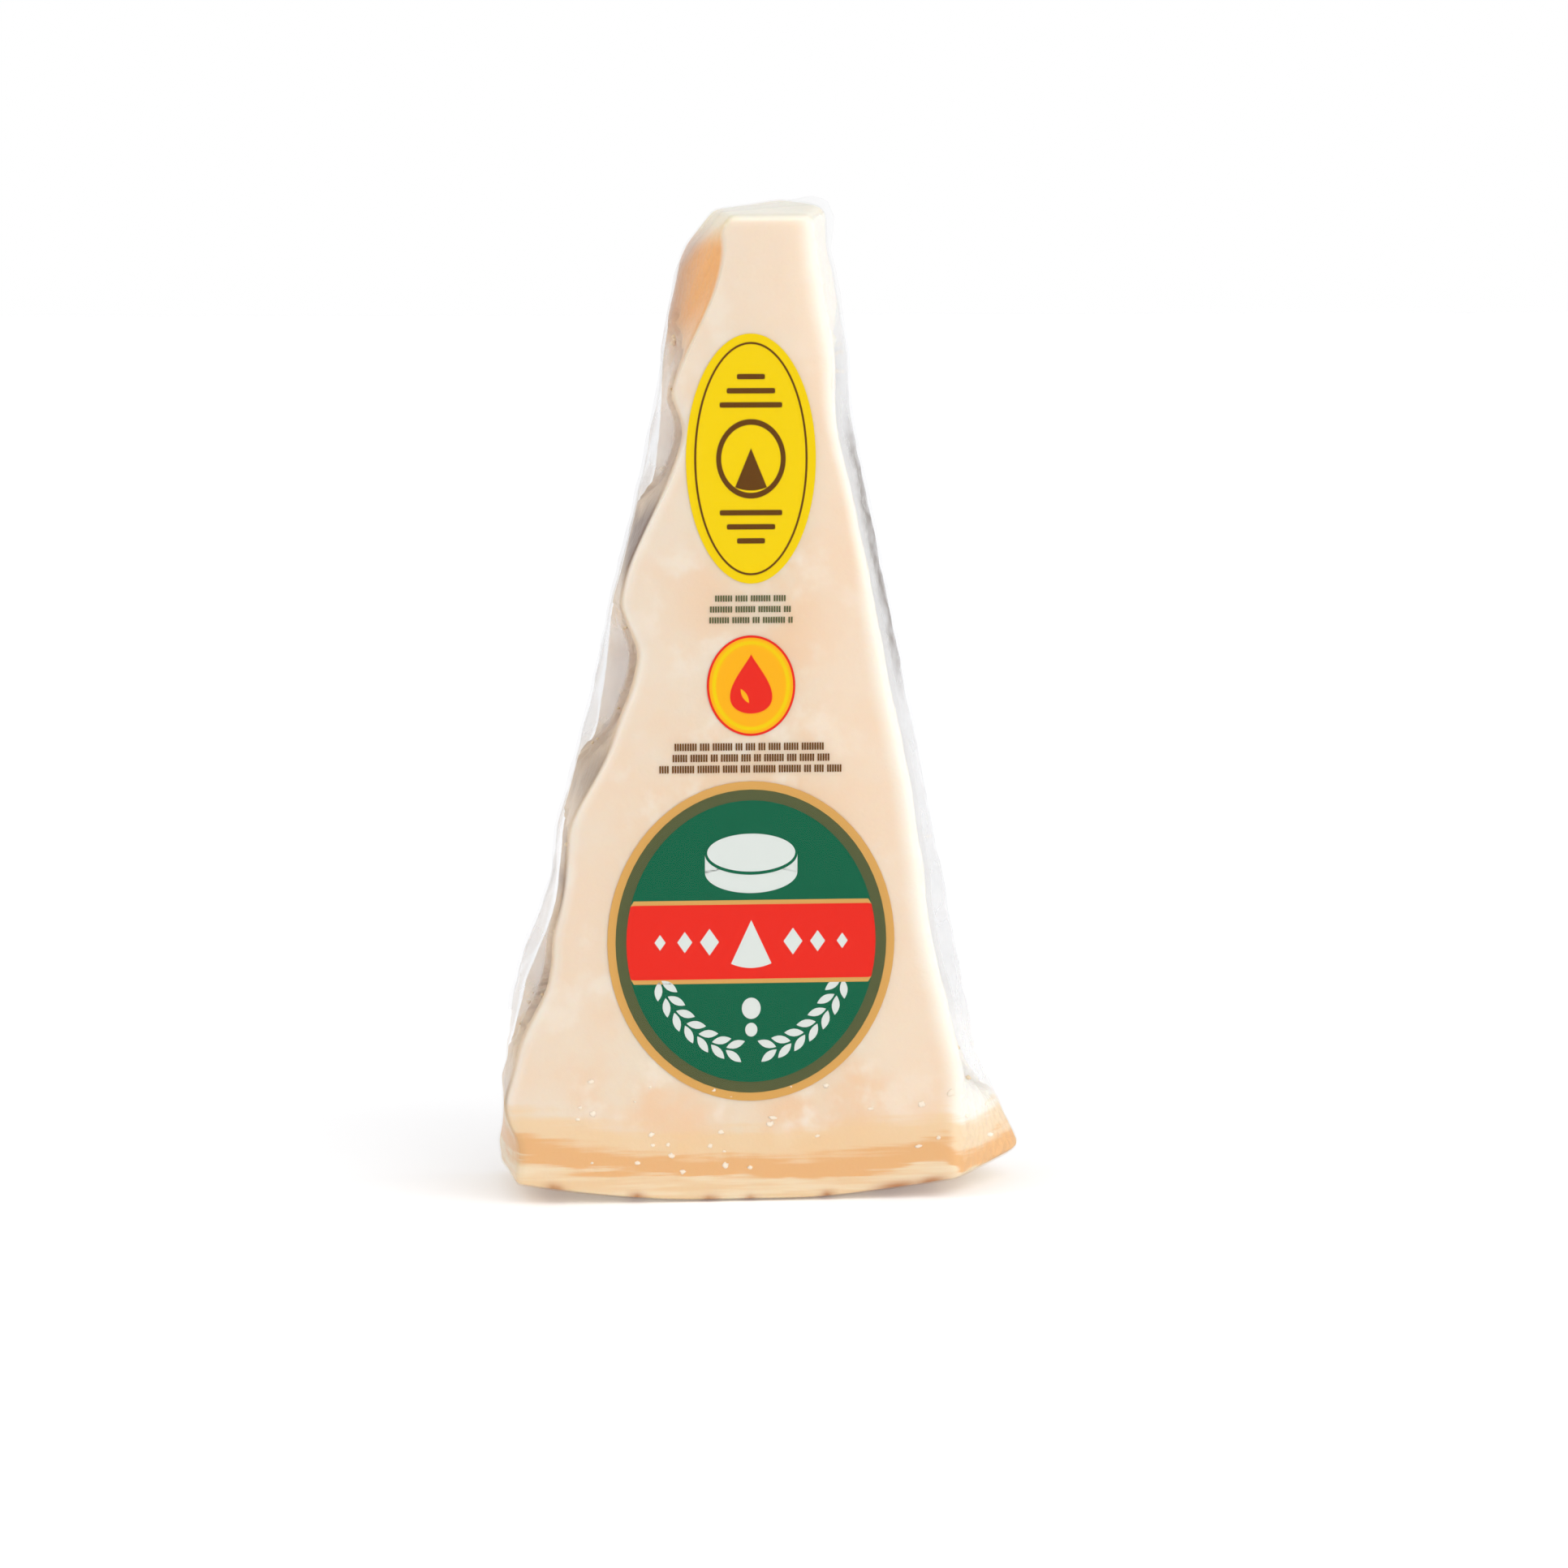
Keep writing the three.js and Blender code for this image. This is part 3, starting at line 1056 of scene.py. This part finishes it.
def print_tag(ink_print, z):
    """The tall yellow oval: a thin brown line inside its edge, a slice of cheese and some bars."""
    width, height = 20.4 * MM, 39 * MM
    line_in, line = 1.3 * MM, 0.34 * MM
    insets = (("yellow", 0), ("brown", line_in), ("yellow", line_in + line))
    for layer, (ink, inset) in enumerate(insets):
        ink_print.patch(ink, PRINT_X, z, ellipse(width - 2 * inset, height - 2 * inset), layer)
    wheel, wheel_line = 12.4 * MM, 0.9 * MM
    ink_print.patch("brown", PRINT_X, z, ellipse(SHRUNK * wheel, wheel), 3)
    inside = wheel - 2 * wheel_line
    ink_print.patch("yellow", PRINT_X, z, ellipse(SHRUNK * inside, inside), 4)
    ink_print.patch("brown", PRINT_X, z - 1.3 * MM, wedge_sign(5 * MM, 6.6 * MM), 5)
    bars = ((12.8, 4.4), (10.6, 7.6), (8.4, 9.8), (-8.4, 9.8), (-10.6, 7.6), (-12.8, 4.4))
    for up, wide in bars:
        ink_print.patch("brown", PRINT_X, z + up * MM, bar(wide * MM, 0.85 * MM), 3)


def print_seal(ink_print, z):
    """The small orange-yellow seal, with a thin red edge and a red drop."""
    width, height = 13.9 * MM, 15.8 * MM
    edge = 0.36 * MM
    ink_print.patch("red", PRINT_X, z, ellipse(width, height), 0)
    ink_print.patch("orange", PRINT_X, z, ellipse(width - 2 * edge, height - 2 * edge), 1)
    ink_print.patch("yellow", PRINT_X, z, ellipse(width - 4.6 * edge, height - 4.6 * edge), 2)
    ink_print.patch("orange", PRINT_X, z, ellipse(width - 8 * edge, height - 8 * edge), 3)
    ink_print.patch("red", PRINT_X, z + 0.3 * MM, drop(7 * MM, 9.4 * MM), 4)
    gleam = leaf(2.6 * MM, 0.8 * MM, math.radians(120))
    ink_print.patch("orange", PRINT_X - 1 * MM, z - 1.6 * MM, gleam, 5)


def print_ear(ink_print, side, z, width, height):
    """One ear of wheat, curving up the badge's lower edge from the middle."""
    off_stem, lean = 0.95 * MM, 0.5
    for index in range(8):
        turn = math.radians(-80 + 9.2 * index)
        along = turn + math.pi / 2
        for out in (1, -1):
            tilt = along + out * lean
            if side == LEFT:
                tilt = math.pi - tilt
            x = PRINT_X + side * (width / 2 + out * off_stem) * math.cos(turn)
            grain_z = z + (height / 2 + out * off_stem) * math.sin(turn)
            ink_print.patch("white", x, grain_z, leaf(3.1 * MM, 1.25 * MM, tilt), 3)


def print_wheel(ink_print, z):
    """A wheel of cheese in white, seen a little from above."""
    across, deep = 14.6 * MM, 6.6 * MM
    ink_print.patch("white", PRINT_X, z - 1.6 * MM, ellipse(across, deep), 3)
    ink_print.patch("white", PRINT_X, z - 0.2 * MM, bar(across, 3 * MM, 0.05), 3)
    ink_print.patch("green", PRINT_X, z + 1.3 * MM, ellipse(across, deep), 4)
    ink_print.patch("white", PRINT_X, z + 1.5 * MM, ellipse(13.9 * MM, 6 * MM), 5)


def print_badge(ink_print, z):
    """The large green badge: gold and olive edges, a red band, a wheel above and ears below."""
    width, height = 45.4 * MM, 50.7 * MM
    gold_edge, olive_edge = 1.3 * MM, 3 * MM
    ink_print.patch("gold", PRINT_X, z, ellipse(width, height), 0)
    ink_print.patch("olive", PRINT_X, z, ellipse(width - 2 * gold_edge, height - 2 * gold_edge), 1)
    field = ellipse(width - 2 * olive_edge, height - 2 * olive_edge)
    ink_print.patch("green", PRINT_X, z, field, 2)
    ink_print.patch("gold", PRINT_X, z, cut_level(field, 6.6 * MM), 3)
    ink_print.patch("red", PRINT_X, z, cut_level(field, 5.9 * MM), 4)
    print_band(ink_print, z)
    print_wheel(ink_print, z + 12.6 * MM)
    for side in (LEFT, RIGHT):
        print_ear(ink_print, side, z, 30.4 * MM, 35 * MM)
    for size, down in ((3.4, 10.6), (2.2, 14)):
        dot = ellipse(SHRUNK * size * MM, size * MM, 24)
        ink_print.patch("white", PRINT_X, z - down * MM, dot, 3)


def print_band(ink_print, z):
    """On the red band: a white slice of cheese between rows of diamonds."""
    ink_print.patch("white", PRINT_X, z, wedge_sign(6.4 * MM, 7.6 * MM), 5)
    for side in (LEFT, RIGHT):
        for index, size in enumerate((3.4, 2.7, 2.0)):
            x = PRINT_X + side * (6.6 + 3.9 * index) * MM
            diamond = ellipse(SHRUNK * size * MM, size * 1.25 * MM, 4)
            ink_print.patch("white", x, z, diamond, 5)


def add_print():
    """All of the print, from the top of the pack down, and its pieces."""
    rng = random.Random(5)
    ink_print = Print()
    print_tag(ink_print, 117.4 * MM)
    for row, width in enumerate((11.8, 13.4, 13.6)):
        ink_print.row("olive", (95.6 - 1.7 * row) * MM, width * MM, 0.95 * MM, rng)
    print_seal(ink_print, 81.9 * MM)
    for row, width in enumerate((24.6, 25.2, 29.4)):
        ink_print.row("brown", (72.3 - 1.75 * row) * MM, width * MM, 1.15 * MM, rng)
    print_badge(ink_print, 41.5 * MM)
    return ink_print.pieces()


# ------------------------------------------------------------ assembly

add_camera()
add_world((1.0, 0.99, 0.98), 0.61)
add_sun("main_light", (0.8, -1.6, 1.3), 1.04, math.radians(50), (1, 0.98, 0.95))
add_sun("right_light", (1.0, -0.25, 0.4), 0.74, math.radians(60), (1, 0.99, 0.97))
add_softbox("left_light", (-0.9, -0.3, 0.9), (0.5, 1.0), 2.5, (1, 0.99, 0.98))
add_floor()

cheese = add_cheese()
film = add_film(gap_of(cheese))
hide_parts(CAD_NODE)
for piece in (cheese, film, add_weld(), add_crumbs(cheese), add_grains(), *add_print()):
    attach(piece, BODY)

bpy.context.scene.view_settings.view_transform = "Standard"
